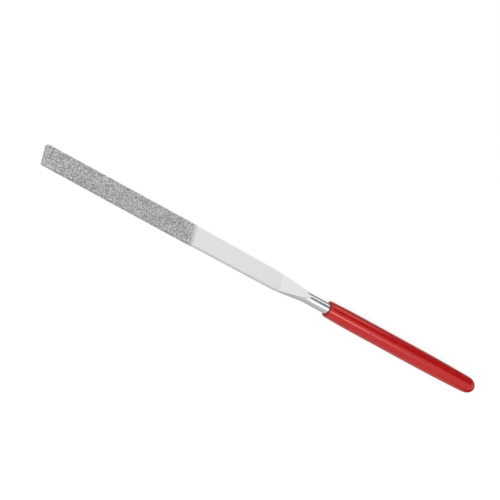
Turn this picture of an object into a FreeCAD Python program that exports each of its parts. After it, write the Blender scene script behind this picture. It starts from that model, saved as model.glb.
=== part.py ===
"""Flat diamond-coated needle file with a dip-moulded vinyl grip. Millimetres.

The file's axis lies along X, with the working tip at +X and the butt of the grip at -X.
The blade's broad faces look along +Z and -Z, and its narrow edges along +Y and -Y.
The origin is on the axis, halfway along the whole tool.
"""

import FreeCAD
import Part
import math
import os

# Lengths of the stretches of the tool, from the tip to the butt
blade_length = 75.5
neck_length = 9.1
bare_shank_length = 7.3
grip_length = 48.1

# Blade: flattened rod, parallel under the coating, then slightly narrower at its root
blade_width = 5.4
blade_thickness = 1.2
root_narrowing = 0.2
edge_break = 0.1

# Coating: diamond crystals held in electroplated nickel
grit_length = 47.6
bond_margin = 0.85
bond_thickness = 0.08
grit_stand_out = 0.06

# Neck: its sides close in like a cone, and a ramp facet rises on each face
ramp_setback = 1.1
ramp_length = 9.1
ramp_foot_bend = 6.0

# Shank
shank_diameter = 3.0
shank_end_chamfer = 0.3

# Vinyl grip: its wall over the shank, and the stretches between its mouth and its butt
mouth_wall = 0.7
barrel_wall = 0.875
tail_wall = 0.61
butt_wall = 1.8
lip_radius = 0.35
swell_length = 10.0
tail_length = 17.3
butt_dome_length = 2.8

# Share of each side of a quarter ellipse that its Bezier handle covers
round_handle = 0.5523

# How far a construction solid reaches past what it shapes
overrun = 2.0

# Half sizes of the sections
half_width = blade_width / 2.0
half_root = half_width - root_narrowing
half_thickness = blade_thickness / 2.0
shank_radius = shank_diameter / 2.0

# Places along the axis
tip_x = (blade_length + neck_length + bare_shank_length + grip_length) / 2.0
butt_x = -tip_x
blank_tip_x = tip_x - bond_thickness - grit_stand_out
grit_end_x = tip_x - grit_length
bond_end_x = grit_end_x - bond_margin
neck_start_x = tip_x - blade_length
neck_end_x = neck_start_x - neck_length
ramp_start_x = neck_start_x - ramp_setback
mouth_x = neck_end_x - bare_shank_length
shank_end_x = butt_x + butt_wall

# Ramp facets of the neck: their slope, and where the bend at their foot begins and ends
ramp_angle = math.atan2(shank_radius - half_thickness, ramp_length)
bend_reach = ramp_foot_bend * math.tan(ramp_angle / 2.0)
bend_start_x = ramp_start_x + bend_reach


def vector(x, y, z=0.0):
    return FreeCAD.Vector(x, y, z)


def lines(points):
    """Straight edges from each point to the next."""
    return [Part.LineSegment(start, end).toShape() for start, end in zip(points, points[1:])]


def curve(points):
    """Bezier edge between its first and last points, tangent to its first and last legs."""
    bezier = Part.BezierCurve()
    bezier.setPoles(points)
    return bezier.toShape()


def turned(edges):
    """Solid of revolution about the file's axis, from the edges round half of its section."""
    return Part.Face(Part.Wire(edges)).revolve(vector(0, 0), vector(1, 0), 360)


def block(x_low, x_high, half_y, half_z):
    """Box centred on the file's axis."""
    return Part.makeBox(x_high - x_low, half_y * 2, half_z * 2, vector(x_low, -half_y, -half_z))


def rounded_block(body, radius, tip):
    """Rounds a flat body's long edges and the edges round its tip, and leaves its back end sharp."""
    def is_long(edge):
        return edge.BoundBox.XLength > edge_break

    def is_at_tip(edge):
        return edge.BoundBox.XMin > tip - edge_break

    return body.makeFillet(radius, [edge for edge in body.Edges if is_long(edge) or is_at_tip(edge)])


def blade_bar():
    """The flattened blade, up to the bend at the foot of the neck's ramps."""
    half_plan = [
        vector(blank_tip_x, half_width, -half_thickness),
        vector(bond_end_x, half_width, -half_thickness),
        vector(neck_start_x, half_root, -half_thickness),
        vector(bend_start_x, half_root, -half_thickness),
    ]
    other_half = [vector(point.x, -point.y, point.z) for point in reversed(half_plan)]
    outline = Part.Wire(lines(half_plan + other_half + half_plan[:1]))
    bar = Part.Face(outline).extrude(vector(0, 0, blade_thickness))
    return rounded_block(bar, edge_break, blank_tip_x)


def neck_wedge():
    """Wedge seen from the side: flat foot, bend, and a ramp rising past the shank's surface."""
    rise_x = ramp_start_x - ramp_length - overrun
    rise_z = half_thickness + (ramp_start_x - rise_x) * math.tan(ramp_angle)
    bend_start = vector(bend_start_x, 0, half_thickness)
    bend_middle = bend_start + vector(
        -ramp_foot_bend * math.sin(ramp_angle / 2.0), 0, ramp_foot_bend * (1 - math.cos(ramp_angle / 2.0)))
    bend_end = bend_start + vector(
        -ramp_foot_bend * math.sin(ramp_angle), 0, ramp_foot_bend * (1 - math.cos(ramp_angle)))
    bend = Part.Arc(bend_start, bend_middle, bend_end).toShape()
    rest = lines([bend_end, vector(rise_x, 0, rise_z), vector(shank_end_x, 0, rise_z),
                  vector(shank_end_x, 0, 0), vector(bend_start_x, 0, 0), bend_start])
    upper = Part.Face(Part.Wire([bend] + rest))
    upper.translate(vector(0, -blade_width))
    upper_half = upper.extrude(vector(0, blade_width * 2))
    lower_half = upper_half.mirror(vector(0, 0), vector(0, 0, 1))
    return upper_half.fuse(lower_half)


def turned_rod():
    """Cone that trims the neck's sides, running down onto the round shank and its chamfered end."""
    slope = (half_root - shank_radius) / neck_length
    front_radius = shank_radius + slope * (tip_x - neck_end_x)
    half_section = lines([
        vector(tip_x, 0),
        vector(tip_x, front_radius),
        vector(neck_end_x, shank_radius),
        vector(shank_end_x + shank_end_chamfer, shank_radius),
        vector(shank_end_x, shank_radius - shank_end_chamfer),
        vector(shank_end_x, 0),
        vector(tip_x, 0),
    ])
    return turned(half_section)


def file_blank():
    """Blade, neck and shank, forged and ground from one rod."""
    return blade_bar().fuse(neck_wedge()).common(turned_rod()).removeSplitter()


def grown_blade(skin):
    """The coated stretch of the blade, grown by a skin on its faces, edges and tip."""
    tip = blank_tip_x + skin
    body = block(bond_end_x - overrun, tip, half_width + skin, half_thickness + skin)
    return rounded_block(body, edge_break + skin, tip)


def coating_layer(inner_skin, outer_skin, end_x):
    """All that lies between two skins of the blade, from the tip back to end_x."""
    layer = grown_blade(outer_skin).cut(grown_blade(inner_skin))
    return layer.cut(block(bond_end_x - overrun * 2, end_x, blade_width, blade_width))


def mitre_core():
    """Corner of the rounding arcs' centres, where the mitres between the grit layers begin."""
    return vector(blank_tip_x - edge_break, half_width - edge_break, half_thickness - edge_break)


def tip_mitre():
    """Frustum that widens towards the tip at 45 degrees."""
    core = mitre_core()

    def rectangle(grow):
        corners = [vector(core.x + grow, side_y * (core.y + grow), side_z * (core.z + grow))
                   for side_y, side_z in ((-1, -1), (1, -1), (1, 1), (-1, 1))]
        return Part.Wire(lines(corners + corners[:1]))

    return Part.makeLoft([rectangle(0.0), rectangle(overrun)], True, True)


def face_mitre(side):
    """Wedge that widens from one broad face at 45 degrees; side is 1 for upper, -1 for lower."""
    core = mitre_core()
    corners = [
        vector(grit_end_x - overrun, -core.y, side * core.z),
        vector(grit_end_x - overrun, core.y, side * core.z),
        vector(grit_end_x - overrun, core.y + overrun, side * (core.z + overrun)),
        vector(grit_end_x - overrun, -core.y - overrun, side * (core.z + overrun)),
    ]
    return Part.Face(Part.Wire(lines(corners + corners[:1]))).extrude(vector(grit_length + overrun * 2, 0))


def grit_layers():
    """The grit on each side of the blade, mitred where one side meets the next."""
    grit = coating_layer(bond_thickness, bond_thickness + grit_stand_out, grit_end_x)
    around_blade = grit.cut(tip_mitre())
    edges = around_blade.cut(face_mitre(1)).cut(face_mitre(-1))
    left_half = block(butt_x, tip_x, blade_width, blade_width)
    left_half.translate(vector(0, blade_width))
    return {
        "grit_tip_end": grit.common(tip_mitre()),
        "grit_upper_face": around_blade.common(face_mitre(1)),
        "grit_lower_face": around_blade.common(face_mitre(-1)),
        "grit_left_edge": edges.common(left_half),
        "grit_right_edge": edges.cut(left_half),
    }


def vinyl_grip():
    """Dipped sleeve: rolled lip, swell, parallel barrel, slow tail and domed butt, over the shank."""
    mouth_radius = shank_radius + mouth_wall
    barrel_radius = shank_radius + barrel_wall
    tail_radius = shank_radius + tail_wall
    barrel_start_x = mouth_x - swell_length
    dome_x = butt_x + butt_dome_length
    barrel_end_x = dome_x + tail_length
    tail_slope = (barrel_radius - tail_radius) / (tail_length / 2.0)
    handle = round_handle * butt_dome_length

    lip_centre = vector(mouth_x - lip_radius, mouth_radius - lip_radius)
    lip_diagonal = vector(lip_radius, lip_radius) * math.sqrt(0.5)
    lip_front = vector(mouth_x, mouth_radius - lip_radius)
    lip_back = vector(mouth_x - lip_radius, mouth_radius)
    lip = Part.Arc(lip_front, lip_centre + lip_diagonal, lip_back).toShape()
    swell = curve([lip_back, vector((lip_back.x + barrel_start_x) / 2.0, barrel_radius),
                   vector(barrel_start_x, barrel_radius)])
    barrel = lines([vector(barrel_start_x, barrel_radius), vector(barrel_end_x, barrel_radius)])
    tail = curve([vector(barrel_end_x, barrel_radius),
                  vector((barrel_end_x + dome_x) / 2.0, barrel_radius), vector(dome_x, tail_radius)])
    dome = curve([vector(dome_x, tail_radius), vector(dome_x - handle, tail_radius - handle * tail_slope),
                  vector(butt_x, tail_radius * round_handle), vector(butt_x, 0)])
    bore = lines([vector(butt_x, 0), vector(shank_end_x, 0),
                  vector(shank_end_x, shank_radius - shank_end_chamfer),
                  vector(shank_end_x + shank_end_chamfer, shank_radius),
                  vector(mouth_x, shank_radius), lip_front])
    return turned([lip, swell] + barrel + [tail, dome] + bore)


pieces = {
    "file_blank": file_blank(),
    "nickel_bond": coating_layer(0.0, bond_thickness, bond_end_x),
    "vinyl_grip": vinyl_grip(),
}
pieces.update(grit_layers())

os.makedirs("parts", exist_ok=True)
for name, shape in pieces.items():
    shape.exportStep("parts/" + name + ".step")
    print(f"{name}: {len(shape.Solids)} solid, valid {shape.isValid()}, {shape.Volume:.3f} mm3")
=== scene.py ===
"""Looks of a flat diamond needle file with a dipped vinyl grip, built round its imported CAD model.

Laid out as a Blender add-on with one operator for each piece, and run as a script. Lengths are in
metres. The file's axis lies along X, with the tip at +X, and its broad faces look along +Z and -Z.
"""

import math
import random

import bmesh
import bpy
from mathutils import Matrix, Quaternion, Vector
from mathutils.geometry import interpolate_bezier


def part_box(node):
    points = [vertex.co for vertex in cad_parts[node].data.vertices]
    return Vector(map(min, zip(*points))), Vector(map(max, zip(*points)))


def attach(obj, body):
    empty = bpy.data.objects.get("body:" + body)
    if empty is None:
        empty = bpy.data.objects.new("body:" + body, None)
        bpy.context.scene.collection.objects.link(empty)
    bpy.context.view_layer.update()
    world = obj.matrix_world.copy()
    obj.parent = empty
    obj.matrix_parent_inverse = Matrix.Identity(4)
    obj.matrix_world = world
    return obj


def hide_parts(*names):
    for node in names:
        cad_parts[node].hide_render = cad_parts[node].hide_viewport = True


bl_info = {
    "name": "Diamond Needle File",
    "version": (1, 0, 0),
    "blender": (4, 5, 0),
    "location": "3D View > Sidebar > Needle File",
    "description": "Builds a flat diamond needle file and its studio round a packed CAD model",
    "category": "Object",
}

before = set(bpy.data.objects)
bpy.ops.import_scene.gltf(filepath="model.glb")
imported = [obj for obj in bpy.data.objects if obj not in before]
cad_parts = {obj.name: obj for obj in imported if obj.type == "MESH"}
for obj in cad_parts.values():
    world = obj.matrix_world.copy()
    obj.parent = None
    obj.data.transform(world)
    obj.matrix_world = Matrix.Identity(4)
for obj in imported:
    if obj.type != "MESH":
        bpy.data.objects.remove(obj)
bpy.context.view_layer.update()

blank_low, blank_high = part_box("file_blank")
bond_low, bond_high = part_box("nickel_bond")
grit_low, grit_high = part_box("grit_upper_face")
tip_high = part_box("grit_tip_end")[1]
grip_low, grip_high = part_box("vinyl_grip")

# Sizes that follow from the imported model
shank_radius = blank_high.z
blade_half_width = blank_high.y
bond_thickness = bond_high.y - blank_high.y
blade_half_thickness = bond_high.z - bond_thickness
grit_stand_out = tip_high.x - bond_high.x
barrel_radius = grip_high.y

# How close two corners lie and still count as one
same_place = 1e-8

# Steps round the turned pieces
turned_steps = 96

# Stretch behind the neck in which the shading settles to that of the plain shank
settling_stretch = 0.0035

# In front of the neck the blade's sides turn flat over this length, and swell by this much
flattening_length = 0.00065
flattening_swell = 0.000005

# How far under the nickel the blade reaches its full width
full_width_margin = 0.0003

# Share of a quarter ellipse's side that its Bezier handle covers
round_handle = 0.5523

# Share of the grip's lip that takes the painted shade of the rim at its mouth
painted_rim_shade_share = 0.15

# Sharpest bends that are still shaded smooth, and the bend that the blade's long edges pass
flat_smooth_bend = math.radians(20.0)
round_smooth_bend = math.radians(40.0)
long_edge_bend = math.radians(24.0)

# Columns of crystals that are made together; a few at a time is much quicker than all at once
patch_columns = 24

# What each crystal's size, corners and top are drawn from, against a middling crystal's base
size_spread = 0.18
least_size = 0.65
greatest_size = 1.35
corner_counts = (4, 4, 5, 6)
top_shares = (0.35, 0.75)

# A crystal's height against the coating, and how far it stands out against the grit's stand-out
height_shares = (0.85, 1.05)
stand_out_shares = (0.75, 1.1)

# Darkest shade of the crystals on the tip's end, kept lighter than the rest as painted light, since that end
# catches more light
tip_painted_light_shade = 0.5

# Shares of a side's length and width that stay clear of a crystal's middle
end_clearance = 0.002
side_clearance = 0.01

# The floor's half size, and the air left between it and the file
floor_half_size = 12.0
floor_gap = 0.00001

# The floor's glow and its paper's paleness where the camera sees it and where gloss does, and its
# paper's paleness for the light that it throws back
floor_glow_seen = 0.80
floor_glow_in_gloss = 0.20
floor_paper_seen = 0.28
floor_paper_in_gloss = 0.60
floor_paper_unseen = 0.80


# ---------------------------------------------------------------- settings

def size_setting(name, description, default):
    return bpy.props.FloatProperty(
        name=name, description=description, default=default, subtype="DISTANCE", unit="LENGTH")


def angle_setting(name, description, degrees):
    return bpy.props.FloatProperty(
        name=name, description=description, default=math.radians(degrees), subtype="ANGLE", unit="ROTATION")


def share_setting(name, description, default):
    return bpy.props.FloatProperty(
        name=name, description=description, default=default, min=0.0, max=1.0, subtype="FACTOR")


def power_setting(name, description, default):
    return bpy.props.FloatProperty(
        name=name, description=description, default=default, min=0.0, unit="POWER")


def colour_setting(name, description, default):
    return bpy.props.FloatVectorProperty(
        name=name, description=description, default=default, subtype="COLOR", min=0.0, max=1.0)


class BlankSettings(bpy.types.PropertyGroup):
    neck_front: size_setting("Neck Front", "Where the blade's sides begin to close in", -0.0055)
    neck_back: size_setting("Neck Back", "Where the neck reaches the round shank", -0.0146)
    root_half_width: size_setting(
        "Root Half Width", "Half the blade's width where the neck begins", 0.0025)
    ramp_foot: size_setting("Ramp Foot", "Where the ramp facets begin to rise", -0.0066)
    ramp_length: size_setting("Ramp Length", "Run of a ramp from its foot to the shank's top", 0.0091)
    bend_reach: size_setting(
        "Bend Reach", "Half the length of the soft bend at the ramp's foot", 0.0003)
    edge_round: size_setting("Edge Rounding", "How far the blade's long edges are rounded", 0.0001)
    end_chamfer: size_setting("End Chamfer", "Chamfer of the shank's end inside the grip", 0.0003)
    steel_colour: colour_setting("Steel", "Colour of the bare steel", (0.745, 0.745, 0.745))
    # Painted shade: the narrow edges are darkened for the darker, shaded floor that they mirror
    edge_tone: share_setting(
        "Edge Tone", "Tone of the blade's narrow edges against its faces", 0.92)
    # Painted light: the ramp facets are lightened for the light they catch where they lean
    facet_tone: bpy.props.FloatProperty(
        name="Facet Tone", description="Tone of the freshly ground ramp facets against the faces",
        default=1.05, min=0.0, max=1.2)
    # Painted shade: the shank is darkened for the darker surroundings that it mirrors
    shank_tone: share_setting("Shank Tone", "Tone of the polished shank against the faces", 0.77)
    ground_roughness: share_setting(
        "Ground Roughness", "Roughness of the satin ground faces", 0.17)
    polished_roughness: share_setting("Polished Roughness", "Roughness of the polished shank", 0.16)


class BondSettings(bpy.types.PropertyGroup):
    corner_round: size_setting("Corner Rounding", "Radius of the plated blade's corners", 0.00018)
    nickel_colour: colour_setting("Nickel", "Colour of the plated nickel", (0.64, 0.64, 0.635))
    nickel_roughness: share_setting("Nickel Roughness", "Roughness of the plated nickel", 0.42)
    # Painted shade of the nickel among the crystals, at its darkest and at its lightest clumps
    shaded_tone: share_setting(
        "Shaded Tone", "Tone of the nickel in the darkest clumps of grit", 0.38)
    open_tone: share_setting("Open Tone", "Tone of the nickel in the lightest clumps of grit", 0.98)


class GritSettings(bpy.types.PropertyGroup):
    spacing: size_setting("Crystal Spacing", "Distance between neighbouring crystals", 0.00023)
    width: size_setting("Crystal Width", "Width of a middling crystal at its base", 0.00022)
    wander: share_setting(
        "Wander", "How far a crystal strays from its place, as a share of the spacing", 0.36)
    gaps: share_setting("Gaps", "Share of places left without a crystal", 0.07)
    tilt: angle_setting("Tilt", "Greatest lean of a crystal from upright", 32.0)
    seed: bpy.props.IntProperty(name="Seed", description="Seed of the scatter", default=7, min=0)
    dark_colour: colour_setting("Dark Crystals", "Colour of the darkest crystals", (0.02, 0.02, 0.02))
    light_colour: colour_setting(
        "Light Crystals", "Colour of the lightest crystals", (0.82, 0.82, 0.81))


class GripSettings(bpy.types.PropertyGroup):
    mouth_radius: size_setting("Mouth Radius", "Radius of the grip at its mouth", 0.0022)
    lip_radius: size_setting("Lip Radius", "Rounding of the rolled lip", 0.00035)
    swell_length: size_setting(
        "Swell Length", "Stretch over which the grip swells behind its mouth", 0.010)
    tail_length: size_setting(
        "Tail Length", "Stretch over which the grip narrows in front of its butt", 0.0173)
    tail_radius: size_setting("Tail Radius", "Radius where the tail meets the butt's dome", 0.00211)
    dome_length: size_setting("Dome Length", "Length of the domed butt", 0.0028)
    vinyl_colour: colour_setting("Vinyl", "Colour of the dipped vinyl", (0.445, 0.001, 0.001))
    # Painted shade: the rim at the grip's mouth is coloured dark maroon
    rim_colour: colour_setting("Rim", "Colour of the cut rim at the grip's mouth", (0.36, 0.006, 0.012))
    vinyl_roughness: share_setting("Vinyl Roughness", "Roughness of the dipped vinyl", 0.15)
    rim_roughness: share_setting("Rim Roughness", "Roughness of the cut rim", 0.6)


class StageSettings(bpy.types.PropertyGroup):
    azimuth: angle_setting("Azimuth", "Camera's bearing round the file, from the -Y side", 132.36)
    elevation: angle_setting("Elevation", "Camera's height angle above the file", 50.55)
    roll: angle_setting("Roll", "Camera's turn about its own line of sight", 68.908)
    distance: size_setting("Distance", "Camera's distance from the point that it looks at", 5.2)
    view_width: size_setting("View Width", "Width of the picture at the file", 0.12636)
    aim_left: size_setting("Aim Left", "How far left of the file's middle the camera aims", 0.00254)
    aim_up: size_setting("Aim Up", "How far above the file's middle the camera aims", 0.0056)
    key_angle: angle_setting(
        "Key Angle", "Key lamp's lean from overhead, towards the left edge", 39.5)
    lamp_reach: size_setting("Lamp Reach", "Distance of both lamps from the file's axis", 0.25)
    key_length: size_setting("Key Length", "Length of the key lamp, along the file", 0.5)
    key_width: size_setting("Key Width", "Width of the key lamp", 0.07)
    key_back: size_setting("Key Back", "Where the key lamp's rear end hangs, past the butt", -0.172)
    key_power: power_setting("Key Power", "Power of the key lamp", 0.52)
    fill_angle: angle_setting(
        "Fill Angle", "Fill lamp's lean from overhead, towards the left edge", -50.0)
    fill_length: size_setting("Fill Length", "Length of the fill lamp, along the file", 0.14)
    fill_width: size_setting("Fill Width", "Width of the fill lamp", 0.087)
    fill_back: size_setting("Fill Back", "Where the fill lamp's rear end hangs, past the butt", -0.26)
    fill_power: power_setting("Fill Power", "Power of the fill lamp", 0.030)
    sky_level: bpy.props.FloatProperty(
        name="Sky Level", description="Strength of the even light from all round",
        default=0.57, min=0.0)
    card_angle: angle_setting(
        "Card Angle", "Upper dark card's lean from overhead, towards the left edge", -11.5)
    card_reach: size_setting(
        "Card Reach", "Distance of the upper and rear dark cards from the file's axis", 0.10)
    card_width: size_setting("Card Width", "Width of the upper dark card", 0.0505)
    card_front: size_setting("Card Front", "Where the upper dark card's front end hangs", -0.064)
    card_back: size_setting(
        "Card Back", "Where the rear ends of the cards round the grip hang", -0.20)
    card_tone: share_setting("Card Tone", "Paleness of the upper dark card", 0.15)
    rear_card_angle: angle_setting(
        "Rear Card Angle", "Rear dark card's lean from overhead, towards the left edge", -58.0)
    rear_card_width: size_setting("Rear Card Width", "Width of the rear dark card", 0.12)
    rear_card_front: size_setting(
        "Rear Card Front", "Where the rear dark card's front end hangs", -0.092)
    rear_card_tone: share_setting("Rear Card Tone", "Paleness of the rear dark card", 0.04)
    low_card_angle: angle_setting(
        "Low Card Angle", "Lean of the card that stands beside the grip, from overhead", -76.0)
    low_card_reach: size_setting(
        "Low Card Reach", "Distance of the card that stands beside the grip", 0.06)
    low_card_height: size_setting(
        "Low Card Height", "Height of the card that stands beside the grip", 0.030)
    low_card_front: size_setting("Low Card Front", "Where the low card's front end stands", -0.045)
    low_card_tone: share_setting(
        "Low Card Tone", "Paleness of the card that stands beside the grip", 0.25)
    butt_card_drop: size_setting(
        "Butt Card Drop", "How far under the axis the card behind the butt lies", 0.0029)
    butt_card_width: size_setting("Butt Card Width", "Width of the card behind the butt", 0.06)
    butt_card_front: size_setting(
        "Butt Card Front", "Where the front end of the card behind the butt lies", -0.0705)
    butt_card_back: size_setting(
        "Butt Card Back", "Where the rear end of the card behind the butt lies", -0.12)
    butt_card_tone: share_setting("Butt Card Tone", "Paleness of the card behind the butt", 0.12)
    floor_rest: size_setting(
        "Floor Rest", "Where the grip's lowest side touches the floor", -0.0276)
    floor_depth: size_setting(
        "Floor Depth", "Height of the floor where the grip touches it", -0.0023407)


# ---------------------------------------------------------------- node helpers

def add_node(tree, kind, inputs=None, **settings):
    """Adds a node, gives it its settings, and sets each input or links it where a socket is given."""
    node = tree.nodes.new(kind)
    for name, value in settings.items():
        setattr(node, name, value)
    for name, value in (inputs or {}).items():
        if isinstance(value, bpy.types.NodeSocket):
            tree.links.new(value, node.inputs[name])
        else:
            node.inputs[name].default_value = value
    return node


def calculate(tree, operation, first, second=0.0, clamp=False):
    node = add_node(tree, "ShaderNodeMath", {0: first, 1: second}, operation=operation, use_clamp=clamp)
    return node.outputs[0]


def mix_values(tree, factor, low, high):
    """Mixes two values; inputs 2 and 3 of the node are its plain numbers."""
    node = add_node(tree, "ShaderNodeMix", {"Factor": factor, 2: low, 3: high}, data_type="FLOAT")
    return node.outputs[0]


def mix_colours(tree, factor, low, high):
    """Mixes two colours; inputs 6 and 7 of the node are its colours."""
    ends = [end if isinstance(end, bpy.types.NodeSocket) else (*end[:3], 1.0) for end in (low, high)]
    node = add_node(
        tree, "ShaderNodeMix", {"Factor": factor, 6: ends[0], 7: ends[1]}, data_type="RGBA")
    return node.outputs[2]


def shades(tree, mask, colour, low, high):
    """A colour that a mask takes from one brightness to another."""
    darker, lighter = [tuple(min(part * factor, 1.0) for part in colour) for factor in (low, high)]
    return mix_colours(tree, mask, darker, lighter)


def toned(tree, colour, tone):
    """A colour made darker or lighter by a tone that varies."""
    node = add_node(tree, "ShaderNodeVectorMath", {0: colour, "Scale": tone}, operation="SCALE")
    return node.outputs[0]


def read_attribute(tree, name):
    return add_node(tree, "ShaderNodeAttribute", attribute_name=name).outputs["Fac"]


def looked_at(tree):
    """1 for what the camera sees, straight on, mirrored or through something clear, and 0 elsewhere."""
    path = add_node(tree, "ShaderNodeLightPath").outputs
    mirrored = calculate(tree, "MAXIMUM", path["Is Camera Ray"], path["Is Glossy Ray"])
    return calculate(tree, "MAXIMUM", mirrored, path["Is Transmission Ray"])


def new_group(name, inputs):
    """Starts a shader node group with named inputs and one mask as its output."""
    group = bpy.data.node_groups.new(name, "ShaderNodeTree")
    for label, default in inputs:
        socket = group.interface.new_socket(name=label, in_out="INPUT", socket_type="NodeSocketFloat")
        socket.default_value = default
    group.interface.new_socket(name="Mask", in_out="OUTPUT", socket_type="NodeSocketFloat")
    return group, add_node(group, "NodeGroupInput").outputs


def end_group(group, mask):
    add_node(group, "NodeGroupOutput", {"Mask": mask})
    return group


def object_place(group):
    return add_node(group, "ShaderNodeTexCoord").outputs["Object"]


def contrasted(group, value, contrast):
    """Spreads a value about its middle and keeps it from 0 to 1."""
    centred = calculate(group, "SUBTRACT", value, 0.5)
    spread = calculate(group, "MULTIPLY", centred, contrast)
    return calculate(group, "ADD", spread, 0.5, clamp=True)


def fine_mottle():
    """Group: cloudy unevenness of a finish, from 0 to 1, at a given number of spots per metre."""
    group, given = new_group("fine_mottle", [("Scale", 1000.0), ("Detail", 3.0), ("Contrast", 1.0)])
    noise = add_node(group, "ShaderNodeTexNoise", {
        "Vector": object_place(group), "Scale": given["Scale"], "Detail": given["Detail"],
        "Roughness": 0.6})
    return end_group(group, contrasted(group, noise.outputs["Fac"], given["Contrast"]))


def grinding_lines():
    """Group: fine lines left by a belt that runs along the file, from 0 to 1."""
    group, given = new_group(
        "grinding_lines", [("Lines", 12000.0), ("Length", 0.004), ("Contrast", 1.0)])
    place = add_node(group, "ShaderNodeSeparateXYZ", {0: object_place(group)}).outputs
    along = calculate(group, "DIVIDE", place[0], given["Length"])
    across = calculate(group, "MULTIPLY", place[1], given["Lines"])
    upward = calculate(group, "MULTIPLY", place[2], given["Lines"])
    drawn = add_node(group, "ShaderNodeCombineXYZ", {0: along, 1: across, 2: upward}).outputs[0]
    noise = add_node(group, "ShaderNodeTexNoise", {
        "Vector": drawn, "Scale": 1.0, "Detail": 2.0, "Roughness": 0.5})
    return end_group(group, contrasted(group, noise.outputs["Fac"], given["Contrast"]))


def stretch_mask():
    """Group: 0 before one place along the file and 1 past another, with a smooth change between."""
    group, given = new_group("stretch_mask", [("From", 0.0), ("To", 0.001)])
    place = add_node(group, "ShaderNodeSeparateXYZ", {0: object_place(group)}).outputs
    change = add_node(group, "ShaderNodeMapRange", {
        "Value": place[0], "From Min": given["From"], "From Max": given["To"]},
        interpolation_type="SMOOTHSTEP")
    return end_group(group, change.outputs["Result"])


def mask_from(tree, make_group, **inputs):
    """Mask of a group, which is made when it is first used."""
    group = bpy.data.node_groups.get(make_group.__name__) or make_group()
    node = add_node(tree, "ShaderNodeGroup", node_tree=group)
    for name, value in inputs.items():
        node.inputs[name].default_value = value
    return node.outputs["Mask"]


def empty_material(name):
    material = bpy.data.materials.new(name)
    material.use_nodes = True
    material.node_tree.nodes.clear()
    return material, material.node_tree


def new_material(name):
    """A material with its tree, its Principled shader's inputs and its output."""
    material, tree = empty_material(name)
    shader = add_node(tree, "ShaderNodeBsdfPrincipled")
    add_node(tree, "ShaderNodeOutputMaterial", {"Surface": shader.outputs["BSDF"]})
    return material, tree, shader.inputs


def set_bump(tree, inputs, height, distance):
    bump = add_node(tree, "ShaderNodeBump", {"Height": height, "Distance": distance, "Strength": 1.0})
    tree.links.new(bump.outputs["Normal"], inputs["Normal"])


# ---------------------------------------------------------------- materials

def ground_steel(settings):
    """Bare tool steel: satin where it is ground flat, and brighter where it is polished round. Its colour is
    scaled by a tone that paints shade on the shank and the narrow edges and light on the ramp facets.
    """
    material, tree, inputs = new_material("ground_steel")
    polish = read_attribute(tree, "polish")
    lines = mask_from(tree, grinding_lines, Lines=9000.0, Length=0.003, Contrast=1.4)
    clouds = mask_from(tree, fine_mottle, Scale=420.0, Detail=4.0, Contrast=1.2)
    drawn = shades(tree, lines, settings.steel_colour, low=0.965, high=1.02)
    clouded = shades(tree, clouds, settings.steel_colour, low=0.97, high=1.015)
    plain = mix_colours(tree, 0.5, drawn, clouded)
    # The tone attribute paints shade and light into the steel's colour
    tree.links.new(toned(tree, plain, read_attribute(tree, "tone")), inputs["Base Color"])
    inputs["Metallic"].default_value = 1.0
    satin = settings.ground_roughness
    uneven = mix_values(tree, clouds, satin - 0.03, satin + 0.03)
    roughness = mix_values(tree, polish, uneven, settings.polished_roughness)
    tree.links.new(roughness, inputs["Roughness"])
    height = mix_values(tree, polish, lines, 0.5)
    set_bump(tree, inputs, height, distance=0.0000007)
    return material


def grit_clumps(tree):
    """Darker and lighter clumps of grit, alike in the crystals and in the nickel between them."""
    return mask_from(tree, fine_mottle, Scale=2500.0, Detail=1.0, Contrast=3.0)


def plated_nickel(settings):
    """Electroplated nickel, finely nodular and a little dull, darkened among the crystals by a painted shade,
    which is taken off again on the tip's end as painted light.
    """
    material, tree, inputs = new_material("plated_nickel")
    grains = mask_from(tree, fine_mottle, Scale=9000.0, Detail=3.0, Contrast=2.0)
    clouds = mask_from(tree, fine_mottle, Scale=700.0, Detail=3.0, Contrast=1.5)
    nodular = shades(tree, grains, settings.nickel_colour, low=0.75, high=1.15)
    clouded = shades(tree, clouds, settings.nickel_colour, low=0.90, high=1.08)
    plain = mix_colours(tree, 0.5, nodular, clouded)
    # Painted shade: over the coated stretch the nickel is darkened among the crystals, by an amount that the
    # clumps vary
    coated = mask_from(tree, stretch_mask, From=bond_low.x + 0.0002, To=grit_low.x + 0.0008)
    # Painted light: on the tip's end the nickel's painted shade is taken off
    at_tip = mask_from(tree, stretch_mask, From=tip_high.x - 0.00025, To=tip_high.x - 0.00012)
    painted_grit_shade = mix_values(tree, grit_clumps(tree), settings.shaded_tone, settings.open_tone)
    painted_shade_and_tip_light = mix_values(tree, at_tip, painted_grit_shade, 1.0)
    tone = mix_values(tree, coated, 1.0, painted_shade_and_tip_light)
    tree.links.new(toned(tree, plain, tone), inputs["Base Color"])
    inputs["Metallic"].default_value = 1.0
    dull = settings.nickel_roughness
    tree.links.new(mix_values(tree, grains, dull - 0.08, dull + 0.08), inputs["Roughness"])
    set_bump(tree, inputs, grains, distance=0.000012)
    return material


def diamond_crystals(settings):
    """Blocky synthetic diamond in its nickel: each crystal has a shade of its own."""
    material, tree, inputs = new_material("diamond_crystals")
    flecks = mask_from(tree, fine_mottle, Scale=14000.0, Detail=2.0, Contrast=1.6)
    shade = mix_values(tree, 0.5, read_attribute(tree, "crystal_shade"), grit_clumps(tree))
    plain = mix_colours(tree, shade, settings.dark_colour, settings.light_colour)
    fleck_colour = [part * 0.75 for part in settings.light_colour]
    flecked = mix_colours(tree, flecks, plain, fleck_colour)
    tree.links.new(mix_colours(tree, 0.2, plain, flecked), inputs["Base Color"])
    inputs["Metallic"].default_value = 0.8
    tree.links.new(mix_values(tree, flecks, 0.24, 0.44), inputs["Roughness"])
    set_bump(tree, inputs, flecks, distance=0.000004)
    return material


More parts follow.
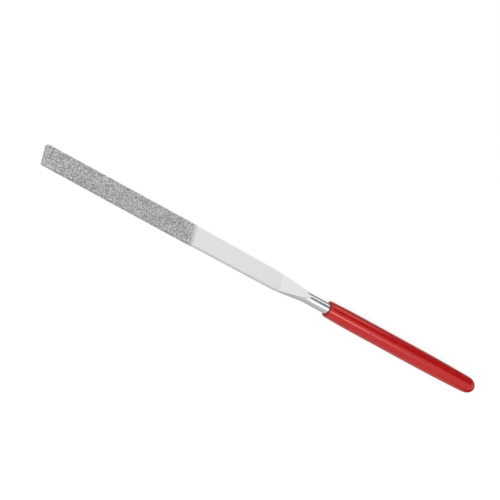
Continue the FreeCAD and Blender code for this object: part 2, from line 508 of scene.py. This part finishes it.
def dipped_vinyl(settings):
    """Glossy plasticised vinyl, with the soft unevenness that dipping leaves, and a duller rim at its mouth
    coloured dark as painted shade.
    """
    material, tree, inputs = new_material("dipped_vinyl")
    clouds = mask_from(tree, fine_mottle, Scale=260.0, Detail=2.0, Contrast=1.3)
    peel = mask_from(tree, fine_mottle, Scale=1100.0, Detail=2.0, Contrast=1.0)
    rim = read_attribute(tree, "rim")
    mottled = shades(tree, clouds, settings.vinyl_colour, low=0.93, high=1.06)
    # Painted shade: the rim at the mouth takes a dark colour
    tree.links.new(mix_colours(tree, rim, mottled, settings.rim_colour), inputs["Base Color"])
    gloss = settings.vinyl_roughness
    glossy = mix_values(tree, peel, gloss - 0.03, gloss + 0.05)
    tree.links.new(mix_values(tree, rim, glossy, settings.rim_roughness), inputs["Roughness"])
    inputs["IOR"].default_value = 1.5
    inputs["Specular IOR Level"].default_value = 1.0
    inputs["Specular Tint"].default_value = (1.0, 0.45, 0.45, 1.0)
    height = mix_values(tree, 0.35, clouds, peel)
    set_bump(tree, inputs, height, distance=0.00001)
    return material


def floor_paper():
    """Paper that is white where it is looked at, keeps its shadow, and is a little darker in gloss."""
    material, tree = empty_material("pale_floor")
    seen = looked_at(tree)
    in_gloss = add_node(tree, "ShaderNodeLightPath").outputs["Is Glossy Ray"]
    glow_when_seen = mix_values(tree, in_gloss, floor_glow_seen, floor_glow_in_gloss)
    glow = calculate(tree, "MULTIPLY", seen, glow_when_seen)
    shade_when_seen = mix_values(tree, in_gloss, floor_paper_seen, floor_paper_in_gloss)
    shade = mix_values(tree, seen, floor_paper_unseen, shade_when_seen)
    paper = add_node(tree, "ShaderNodeBsdfDiffuse", {"Color": shade})
    lift = add_node(tree, "ShaderNodeEmission", {"Strength": glow})
    both = add_node(tree, "ShaderNodeAddShader", {0: paper.outputs[0], 1: lift.outputs[0]})
    add_node(tree, "ShaderNodeOutputMaterial", {"Surface": both.outputs[0]})
    return material


# ---------------------------------------------------------------- mesh helpers

def finish_mesh(bm, name, material):
    """Turns a bmesh into an object at the origin with its material on."""
    mesh = bpy.data.meshes.new(name)
    bm.to_mesh(mesh)
    bm.free()
    mesh.materials.append(material)
    piece = bpy.data.objects.new(name, mesh)
    bpy.context.scene.collection.objects.link(piece)
    return piece


def shade_smooth(bm, ridge_angle):
    """Shades all faces smooth, apart from ridges sharper than an angle."""
    for face in bm.faces:
        face.smooth = True
    for edge in bm.edges:
        edge.smooth = edge.calc_face_angle(0.0) < ridge_angle


def keep_flats_flat(piece):
    """Leans the shading towards the larger faces, so that flats stay flat beside rounded edges."""
    weighted = piece.modifiers.new("flats_stay_flat", "WEIGHTED_NORMAL")
    weighted.keep_sharp = True
    weighted.weight = 80


def stand_in(piece, slot, *nodes):
    """Lets a piece ride on the file and stand for its CAD nodes."""
    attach(piece, "root")
    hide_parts(*nodes)


def spin_profile(bm, points):
    """Turns a half section, given as places along the axis and radii, once round the file's axis."""
    verts = [bm.verts.new((x, 0.0, radius)) for x, radius in points]
    edges = [bm.edges.new(pair) for pair in zip(verts, verts[1:])]
    bmesh.ops.spin(bm, geom=verts + edges, cent=(0, 0, 0), axis=(1, 0, 0), dvec=(0, 0, 0),
                   angle=math.tau, steps=turned_steps, use_merge=True)
    bmesh.ops.remove_doubles(bm, verts=bm.verts[:], dist=same_place)


def round_edges(bm, edges, reach, segments):
    bmesh.ops.bevel(bm, geom=edges, offset=reach, segments=segments, profile=0.5,
                    affect="EDGES", material=-1)


# ---------------------------------------------------------------- blank

def set_finish(bm, face, polish, tone):
    """Notes how polished a face is, and its tone, which paints shade on the shank and the narrow edges and
    light on the ramp facets.
    """
    face[bm.faces.layers.float["polish"]] = polish
    face[bm.faces.layers.float["tone"]] = tone


def at_foot(vert, foot):
    return abs(vert.co.x - foot) < same_place


def on_foot_line(vert, foot):
    """Whether a corner lies where a ramp's foot crosses the blade's face."""
    return at_foot(vert, foot) and abs(abs(vert.co.z) - blade_half_thickness) < same_place


def cut_neck(bm, settings):
    """Cuts the rod's front into the neck's two ramp facets and returns the flat section at their foot."""
    foot = settings.ramp_foot
    angle = math.atan2(shank_radius - blade_half_thickness, settings.ramp_length)
    for side in (1, -1):
        normal = Vector((math.sin(angle), 0.0, side * math.cos(angle)))
        bmesh.ops.bisect_plane(bm, geom=bm.verts[:] + bm.edges[:] + bm.faces[:], dist=1e-9,
                               plane_co=(foot, 0.0, side * blade_half_thickness), plane_no=normal,
                               clear_outer=True)
    rim = [edge for edge in bm.edges if edge.is_boundary]
    foot_edges = [edge for edge in rim if all(at_foot(vert, foot) for vert in edge.verts)]
    facet_edges = [edge for edge in rim if edge not in foot_edges]
    corners = [vert for vert in bm.verts if vert.is_boundary and on_foot_line(vert, foot)]
    foot_lines = []
    for side in (1, -1):
        ends = [vert for vert in corners if vert.co.z * side > 0]
        foot_line = bm.edges.get(ends) or bm.edges.new(ends)
        outline = [edge for edge in facet_edges if edge.verts[0].co.z * side > 0]
        facet = bmesh.ops.contextual_create(bm, geom=outline + [foot_line])["faces"][0]
        # The ramp facets are lightened by a painted light
        set_finish(bm, facet, 0.0, settings.facet_tone)
        foot_lines.append(foot_line)
    return bmesh.ops.contextual_create(bm, geom=foot_edges + foot_lines)["faces"][0]


def draw_blade(bm, settings, section, width):
    """Draws the blade forward from the neck's foot, and flattens its bulging sides on the way."""
    stations = [
        (settings.neck_front, settings.root_half_width, False),
        (settings.neck_front + flattening_length, settings.root_half_width + flattening_swell, True),
        (bond_low.x + full_width_margin, blade_half_width, True),
        (blank_high.x, blade_half_width, True),
    ]
    for x, half_width, flat in stations:
        made = bmesh.ops.extrude_face_region(bm, geom=[section])["geom"]
        bmesh.ops.delete(bm, geom=[section], context="FACES_ONLY")
        section = [part for part in made if isinstance(part, bmesh.types.BMFace)][0]
        verts = list(section.verts)
        bmesh.ops.translate(bm, verts=verts, vec=(x - verts[0].co.x, 0.0, 0.0))
        bmesh.ops.scale(bm, verts=verts, vec=(1.0, half_width / width, 1.0))
        if flat:
            for side in (1, -1):
                edge_verts = [vert for vert in verts if vert.co.y * side > 0]
                bmesh.ops.scale(bm, verts=edge_verts, vec=(1.0, 0.0, 1.0),
                                space=Matrix.Translation((0.0, -side * half_width, 0.0)))
        width = half_width
    bmesh.ops.remove_doubles(bm, verts=bm.verts[:], dist=same_place)
    bmesh.ops.recalc_face_normals(bm, faces=bm.faces[:])


def soften_blank(bm, settings):
    """Bends the ramps' feet softly and rounds the blade's long edges."""
    foot = settings.ramp_foot
    foot_lines = [edge for edge in bm.edges if all(on_foot_line(vert, foot) for vert in edge.verts)]
    round_edges(bm, foot_lines, settings.bend_reach, 4)
    sharp = [edge for edge in bm.edges if edge.is_manifold
             and edge.calc_face_angle(0.0) > long_edge_bend
             and min(vert.co.x for vert in edge.verts) > foot]
    round_edges(bm, sharp, settings.edge_round, 3)
    bmesh.ops.dissolve_degenerate(bm, dist=1e-7, edges=bm.edges[:])


def build_blank(settings):
    """Blade, neck and shank: a turned rod, cut by two ramps, with the flat blade drawn out of its front."""
    bm = bmesh.new()
    polish = bm.faces.layers.float.new("polish")
    bm.faces.layers.float.new("tone")
    foot = settings.ramp_foot
    slope = (settings.root_half_width - shank_radius) / (settings.neck_front - settings.neck_back)
    foot_radius = shank_radius + slope * (foot - settings.neck_back)
    spin_profile(bm, [
        (blank_low.x, 0.0),
        (blank_low.x, shank_radius - settings.end_chamfer),
        (blank_low.x + settings.end_chamfer, shank_radius),
        (settings.neck_back - settling_stretch, shank_radius),
        (settings.neck_back, shank_radius),
        (foot, foot_radius),
    ])
    # The round shank is polished, and darkened by a painted shade
    for face in bm.faces:
        set_finish(bm, face, 1.0, settings.shank_tone)
    section = cut_neck(bm, settings)
    draw_blade(bm, settings, section, foot_radius)
    for face in bm.faces:
        if min(vert.co.x for vert in face.verts) > foot - same_place:
            # The narrow edges take a painted shade, and the blade's faces keep the plain tone
            narrow_edge = abs(face.normal.y) > 0.5
            set_finish(bm, face, 0.0, settings.edge_tone if narrow_edge else 1.0)
    soften_blank(bm, settings)
    shade_smooth(bm, flat_smooth_bend)

    # Polished and ground faces meet in a crisp line
    for edge in bm.edges:
        if abs(edge.link_faces[0][polish] - edge.link_faces[1][polish]) > 0.5:
            edge.smooth = False
    return bm


# ---------------------------------------------------------------- bond

def at_back(face):
    """Whether a face of the bond's block is the one that looks along -X."""
    return face.calc_center_median().x < bond_low.x + bond_thickness / 2


def build_bond(settings):
    """Skin of plated nickel that wraps the blade's faces, edges and tip, open at its back."""
    bm = bmesh.new()
    size = bond_high - bond_low
    middle = (bond_high + bond_low) / 2
    bmesh.ops.create_cube(bm, size=1.0, matrix=Matrix.Translation(middle) @ Matrix.Diagonal((*size, 1.0)))
    kept_sharp = {edge for face in bm.faces if at_back(face) for edge in face.edges}
    round_edges(bm, [edge for edge in bm.edges if edge not in kept_sharp], settings.corner_round, 5)
    back = [face for face in bm.faces if at_back(face)]
    bmesh.ops.delete(bm, geom=back, context="FACES_ONLY")
    bmesh.ops.solidify(bm, geom=bm.faces[:], thickness=bond_thickness)
    bmesh.ops.recalc_face_normals(bm, faces=bm.faces[:])
    shade_smooth(bm, round_smooth_bend)
    return bm


# ---------------------------------------------------------------- grit

class PlatedSide:
    """One side of the plated blade, with its half of each rounded corner between it and the next."""

    def __init__(self, along, across, height, radius, turn, at_tip=False):
        corner_share = radius * math.pi / 4
        self.along = along
        self.across = across
        self.height = height
        self.radius = radius
        self.turn = turn
        self.u_low = -along - (corner_share if at_tip else 0.0)
        self.span_u = 2 * along + corner_share * (2 if at_tip else 1)
        self.span_v = 2 * (across + corner_share)
        # The crystals on the tip's end are painted lighter, as painted light
        self.least_shade = tip_painted_light_shade if at_tip else 0.0

    def bend(self, distance, half):
        """Splits a distance from the side's middle into its flat stretch and its turn round a corner."""
        past = max(abs(distance) - half, 0.0) / self.radius
        return math.copysign(min(abs(distance), half), distance), math.copysign(past, distance)

    def place(self, u, v):
        """Point and outward direction at shares u and v of the side's length and width."""
        flat_u, angle_u = self.bend(self.u_low + u * self.span_u, self.along)
        flat_v, angle_v = self.bend((v - 0.5) * self.span_v, self.across)
        outward = Vector((math.sin(angle_u) * math.cos(angle_v), math.sin(angle_v),
                          math.cos(angle_u) * math.cos(angle_v)))
        return Vector((flat_u, flat_v, self.height)) + outward * self.radius, outward


def plated_sides(radius):
    """The blade's five plated sides, by the names of their CAD nodes."""
    core = bond_high - Vector((radius, radius, radius))
    half_x = (core.x - grit_low.x) / 2
    quarter = math.radians(90.0)

    def rolled(quarters):
        middle = Matrix.Translation(((grit_low.x + core.x) / 2, 0, 0))
        return middle @ Matrix.Rotation(quarters * quarter, 4, "X")

    return {
        "grit_upper_face": PlatedSide(half_x, core.y, core.z, radius, rolled(0)),
        "grit_lower_face": PlatedSide(half_x, core.y, core.z, radius, rolled(2)),
        "grit_left_edge": PlatedSide(half_x, core.z, core.y, radius, rolled(-1)),
        "grit_right_edge": PlatedSide(half_x, core.z, core.y, radius, rolled(1)),
        "grit_tip_end": PlatedSide(
            core.z, core.y, core.x, radius, Matrix.Rotation(quarter, 4, "Y"), at_tip=True),
    }


def crystal_mesh():
    """Empty bmesh with a shade for each face and a map for the baked picture."""
    bm = bmesh.new()
    bm.faces.layers.float.new("crystal_shade")
    bm.loops.layers.uv.new("OFBake")
    return bm


def grow_crystal(bm, chance, settings, side, u, v):
    """Grows one crystal at shares u and v of a plated side, unless its place stays empty."""
    size = min(max(chance.lognormvariate(0.0, size_spread), least_size), greatest_size)
    corners = chance.choice(corner_counts)
    spin = chance.uniform(0, math.tau)
    lean = settings.tilt * math.sqrt(chance.random())
    lean_way = chance.uniform(0, math.tau)
    top_share = chance.uniform(*top_shares)
    # A random shade of its own, kept lighter on the tip's end as painted light
    shade = chance.uniform(side.least_shade, 1.0)
    if chance.random() < settings.gaps or not 0.0 < u < 1.0:
        return
    u = min(max(u, end_clearance), 1.0 - end_clearance)
    v = min(max(v, side_clearance), 1.0 - side_clearance)
    point, outward = side.place(u, v)
    tall = (bond_thickness + grit_stand_out) * size ** 0.5 * chance.uniform(*height_shares)
    middle = grit_stand_out * chance.uniform(*stand_out_shares) - tall / 2
    upright = Vector((0, 0, 1)).rotation_difference(outward)
    leant = Quaternion((math.cos(lean_way), math.sin(lean_way), 0), lean)
    spun = Quaternion((0, 0, 1), spin)
    matrix = (side.turn @ Matrix.Translation(point + outward * middle)
              @ (upright @ leant @ spun).to_matrix().to_4x4())
    base_radius = settings.width / 2 * size
    made = bmesh.ops.create_cone(
        bm, cap_ends=True, cap_tris=False, segments=corners, radius1=base_radius,
        radius2=base_radius * top_share, depth=tall, matrix=matrix)
    shade_layer = bm.faces.layers.float["crystal_shade"]
    map_layer = bm.loops.layers.uv["OFBake"]
    inverse = matrix.inverted()
    for face in {face for vert in made["verts"] for face in vert.link_faces}:
        face[shade_layer] = shade
        for loop in face.loops:
            local = inverse @ loop.vert.co
            loop[map_layer].uv = (u + local.x / side.span_u, v + local.y / side.span_v)


def scatter_crystals(settings, side, seed):
    """Crystals over one plated side, in staggered rows from which each strays a little."""
    chance = random.Random(seed)
    rows = round(side.span_v / (settings.spacing * math.sqrt(0.75)))
    columns = round(side.span_u / settings.spacing)
    whole = crystal_mesh()
    for start in range(0, columns, patch_columns):
        patch = crystal_mesh()
        for column in range(start, min(start + patch_columns, columns)):
            for row in range(rows):
                stray_u = chance.uniform(-1, 1) * settings.wander
                stray_v = chance.uniform(-1, 1) * settings.wander
                u = (column + 0.25 + 0.5 * (row % 2) + stray_u) / columns
                v = (row + 0.5 + stray_v) / rows
                grow_crystal(patch, chance, settings, side, u, v)
        mesh = bpy.data.meshes.new("patch")
        patch.to_mesh(mesh)
        patch.free()
        whole.from_mesh(mesh)
        bpy.data.meshes.remove(mesh)
    return whole


# ---------------------------------------------------------------- grip

def curve_points(start, first, second, end, count):
    """Points of a Bezier curve, each a place along the axis and a radius."""
    knots = [Vector((x, radius, 0.0)) for x, radius in (start, first, second, end)]
    return [(point.x, point.y) for point in interpolate_bezier(*knots, count)]


def parabola_points(start, corner, end, count):
    """Points of a parabola that leaves and arrives along the legs to its corner."""
    first = [a + (b - a) * 2 / 3 for a, b in zip(start, corner)]
    second = [a + (b - a) * 2 / 3 for a, b in zip(end, corner)]
    return curve_points(start, first, second, end, count)


def build_grip(settings):
    """Dipped sleeve over the shank: rolled lip, swell, parallel barrel, slow tail and domed butt."""
    mouth = grip_high.x
    butt = grip_low.x
    lip = settings.lip_radius
    mouth_radius = settings.mouth_radius
    tail_radius = settings.tail_radius
    swell_end = mouth - settings.swell_length
    dome = butt + settings.dome_length
    tail_start = dome + settings.tail_length
    handle = settings.dome_length * round_handle
    fall = (barrel_radius - tail_radius) / (settings.tail_length / 2)
    lip_front = (mouth, mouth_radius - lip)
    lip_back = (mouth - lip, mouth_radius)
    profile = [(blank_low.x, 0.0), (blank_low.x, shank_radius), (mouth, shank_radius)]
    profile += curve_points(lip_front, (mouth, lip_front[1] + lip * round_handle),
                            (lip_back[0] + lip * round_handle, mouth_radius), lip_back, 10)
    profile += parabola_points(lip_back, ((lip_back[0] + swell_end) / 2, barrel_radius),
                               (swell_end, barrel_radius), 14)[1:]
    profile += [(swell_end + (tail_start - swell_end) * step / 8, barrel_radius) for step in range(1, 8)]
    profile += parabola_points((tail_start, barrel_radius), ((tail_start + dome) / 2, barrel_radius),
                               (dome, tail_radius), 14)
    profile += curve_points((dome, tail_radius), (dome - handle, tail_radius - handle * fall),
                            (butt, tail_radius * round_handle), (butt, 0.0), 20)[1:]
    bm = bmesh.new()
    rim = bm.faces.layers.float.new("rim")
    spin_profile(bm, profile)
    bmesh.ops.recalc_face_normals(bm, faces=bm.faces[:])
    shade_smooth(bm, round_smooth_bend)
    for face in bm.faces:
        # Faces at the mouth carry the rim's painted shade
        face[rim] = 1.0 if face.calc_center_median().x > mouth - lip * painted_rim_shade_share else 0.0
    return bm


# ---------------------------------------------------------------- operators

class MakeBlank(bpy.types.Operator):
    """Build the steel blank: blade, neck and shank"""
    bl_idname = "needle_file.make_blank"
    bl_label = "Make Steel Blank"

    def execute(self, context):
        settings = context.scene.file_blank
        piece = finish_mesh(build_blank(settings), "steel_blank", ground_steel(settings))
        keep_flats_flat(piece)
        stand_in(piece, "steel", "file_blank")
        return {"FINISHED"}


class MakeBond(bpy.types.Operator):
    """Build the nickel skin that holds the diamonds"""
    bl_idname = "needle_file.make_bond"
    bl_label = "Make Nickel Bond"

    def execute(self, context):
        settings = context.scene.nickel_bond
        piece = finish_mesh(build_bond(settings), "nickel_skin", plated_nickel(settings))
        keep_flats_flat(piece)
        stand_in(piece, "nickel_plate", "nickel_bond")
        return {"FINISHED"}


class MakeGrit(bpy.types.Operator):
    """Scatter the diamond crystals over the blade's five plated sides"""
    bl_idname = "needle_file.make_grit"
    bl_label = "Make Diamond Grit"

    def execute(self, context):
        settings = context.scene.diamond_grit
        material = diamond_crystals(settings)
        sides = plated_sides(context.scene.nickel_bond.corner_round)
        for index, (node, side) in enumerate(sides.items()):
            crystals = scatter_crystals(settings, side, settings.seed + index)
            piece = finish_mesh(crystals, node.replace("grit_", "crystals_"), material)
            stand_in(piece, "diamond_grit", node)
        return {"FINISHED"}


class MakeGrip(bpy.types.Operator):
    """Build the dipped vinyl grip"""
    bl_idname = "needle_file.make_grip"
    bl_label = "Make Vinyl Grip"

    def execute(self, context):
        settings = context.scene.vinyl_grip
        piece = finish_mesh(build_grip(settings), "vinyl_sleeve", dipped_vinyl(settings))
        stand_in(piece, "red_vinyl", "vinyl_grip")
        return {"FINISHED"}


class MakeStage(bpy.types.Operator):
    """Set up the camera, the floor, the lamps and the light from all round"""
    bl_idname = "needle_file.make_stage"
    bl_label = "Make Studio"

    def execute(self, context):
        settings = context.scene.studio
        scene = context.scene
        scene.view_settings.view_transform = "Standard"
        self.place_camera(scene, settings)
        self.lay_floor(settings)
        self.hang_lamp(scene, "key_strip", settings.key_angle, settings.lamp_reach, settings.key_length,
                       settings.key_width, settings.key_back, settings.key_power)
        self.hang_lamp(scene, "fill_strip", settings.fill_angle, settings.lamp_reach, settings.fill_length,
                       settings.fill_width, settings.fill_back, settings.fill_power)
        self.hang_cards(settings)
        self.light_sky(scene, settings)
        return {"FINISHED"}

    def place_camera(self, scene, settings):
        level = math.cos(settings.elevation)
        back = Vector((math.sin(settings.azimuth) * level, -math.cos(settings.azimuth) * level,
                       math.sin(settings.elevation)))
        turn = back.to_track_quat("Z", "Y") @ Quaternion((0, 0, 1), settings.roll)
        aim = turn @ Vector((-settings.aim_left, settings.aim_up, 0.0))
        data = bpy.data.cameras.new("studio_camera")
        data.lens = data.sensor_width * settings.distance / settings.view_width
        data.clip_start = 0.01
        data.clip_end = 100.0
        camera = bpy.data.objects.new("studio_camera", data)
        camera.matrix_world = Matrix.Translation(aim + back * settings.distance) @ turn.to_matrix().to_4x4()
        scene.collection.objects.link(camera)
        scene.camera = camera

    def lay_floor(self, settings):
        """A pale floor that the tip and the grip rest on, so it leans a little against the axis."""
        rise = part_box("grit_lower_face")[0].z - settings.floor_depth
        lean = math.atan2(rise, grit_high.x - settings.floor_rest)
        height = settings.floor_depth - settings.floor_rest * math.tan(lean) - floor_gap
        bm = bmesh.new()
        bmesh.ops.create_grid(bm, x_segments=1, y_segments=1, size=floor_half_size)
        bmesh.ops.transform(bm, verts=bm.verts[:], matrix=Matrix.Translation((0, 0, height))
                            @ Matrix.Rotation(-lean, 4, "Y"))
        finish_mesh(bm, "studio_floor", floor_paper())

    def hang_lamp(self, scene, name, angle, reach, length, width, back, power):
        """A long lamp over the file's axis, leant from overhead and turned to face it."""
        data = bpy.data.lights.new(name, "AREA")
        data.shape = "RECTANGLE"
        data.size = length
        data.size_y = width
        data.energy = power
        lamp = bpy.data.objects.new(name, data)
        spot = Vector((back + length / 2, reach * math.sin(angle), reach * math.cos(angle)))
        lamp.matrix_world = Matrix.Translation(spot) @ Matrix.Rotation(-angle, 4, "X")
        lamp.visible_camera = False
        scene.collection.objects.link(lamp)

    def hang_cards(self, settings):
        """Cards that only gloss shows: over the grip, low beside it, over its butt and behind it."""
        self.hang_card("upper_card", settings.card_angle, settings.card_reach, settings.card_width,
                       settings.card_front, settings.card_back, settings.card_tone)
        self.hang_card("low_card", settings.low_card_angle, settings.low_card_reach, settings.low_card_height,
                       settings.low_card_front, settings.card_back, settings.low_card_tone)
        self.hang_card("rear_card", settings.rear_card_angle, settings.card_reach, settings.rear_card_width,
                       settings.rear_card_front, settings.card_back, settings.rear_card_tone)
        self.hang_card("butt_card", math.pi, settings.butt_card_drop, settings.butt_card_width,
                       settings.butt_card_front, settings.butt_card_back, settings.butt_card_tone)

    def hang_card(self, name, angle, reach, width, front, back, tone):
        """A card along the file's axis, leant from overhead and turned to face it."""
        bm = bmesh.new()
        bmesh.ops.create_grid(bm, x_segments=1, y_segments=1, size=0.5)
        spot = Vector(((front + back) / 2, reach * math.sin(angle), reach * math.cos(angle)))
        bmesh.ops.transform(bm, verts=bm.verts[:], matrix=Matrix.Translation(spot)
                            @ Matrix.Rotation(-angle, 4, "X")
                            @ Matrix.Diagonal((front - back, width, 1.0, 1.0)))
        material, _, inputs = new_material(name)
        inputs["Base Color"].default_value = (tone, tone, tone, 1.0)
        inputs["Roughness"].default_value = 1.0
        card = finish_mesh(bm, name, material)
        card.visible_camera = False
        card.visible_diffuse = False
        card.visible_shadow = False

    def light_sky(self, scene, settings):
        """Even light from all round, which is white wherever it is looked at."""
        world = bpy.data.worlds.new("studio_sky")
        scene.world = world
        world.use_nodes = True
        tree = world.node_tree
        tree.nodes.clear()
        strength = mix_values(tree, looked_at(tree), settings.sky_level, 1.0)
        sky = add_node(tree, "ShaderNodeBackground", {"Color": (1, 1, 1, 1), "Strength": strength})
        add_node(tree, "ShaderNodeOutputWorld", {"Surface": sky.outputs[0]})


# Each part of the build: where its settings hang on the scene, the settings and the operator
sections = (
    ("file_blank", BlankSettings, MakeBlank),
    ("nickel_bond", BondSettings, MakeBond),
    ("diamond_grit", GritSettings, MakeGrit),
    ("vinyl_grip", GripSettings, MakeGrip),
    ("studio", StageSettings, MakeStage),
)


class StudioPanel(bpy.types.Panel):
    """Panel in the 3D view's sidebar that lists the pieces and their settings"""
    bl_idname = "VIEW3D_PT_needle_file"
    bl_label = "Needle File"
    bl_space_type = "VIEW_3D"
    bl_region_type = "UI"
    bl_category = "Needle File"

    def draw(self, context):
        for name, group, operator in sections:
            box = self.layout.box()
            for part in group.__annotations__:
                box.prop(getattr(context.scene, name), part)
            box.operator(operator.bl_idname)


def register():
    for name, group, operator in sections:
        bpy.utils.register_class(group)
        bpy.utils.register_class(operator)
        setattr(bpy.types.Scene, name, bpy.props.PointerProperty(type=group))
    bpy.utils.register_class(StudioPanel)


def unregister():
    bpy.utils.unregister_class(StudioPanel)
    for name, group, operator in sections:
        delattr(bpy.types.Scene, name)
        bpy.utils.unregister_class(operator)
        bpy.utils.unregister_class(group)


def main():
    register()
    bpy.ops.needle_file.make_blank()
    bpy.ops.needle_file.make_bond()
    bpy.ops.needle_file.make_grit()
    bpy.ops.needle_file.make_grip()
    bpy.ops.needle_file.make_stage()


if __name__ == "__main__":
    main()
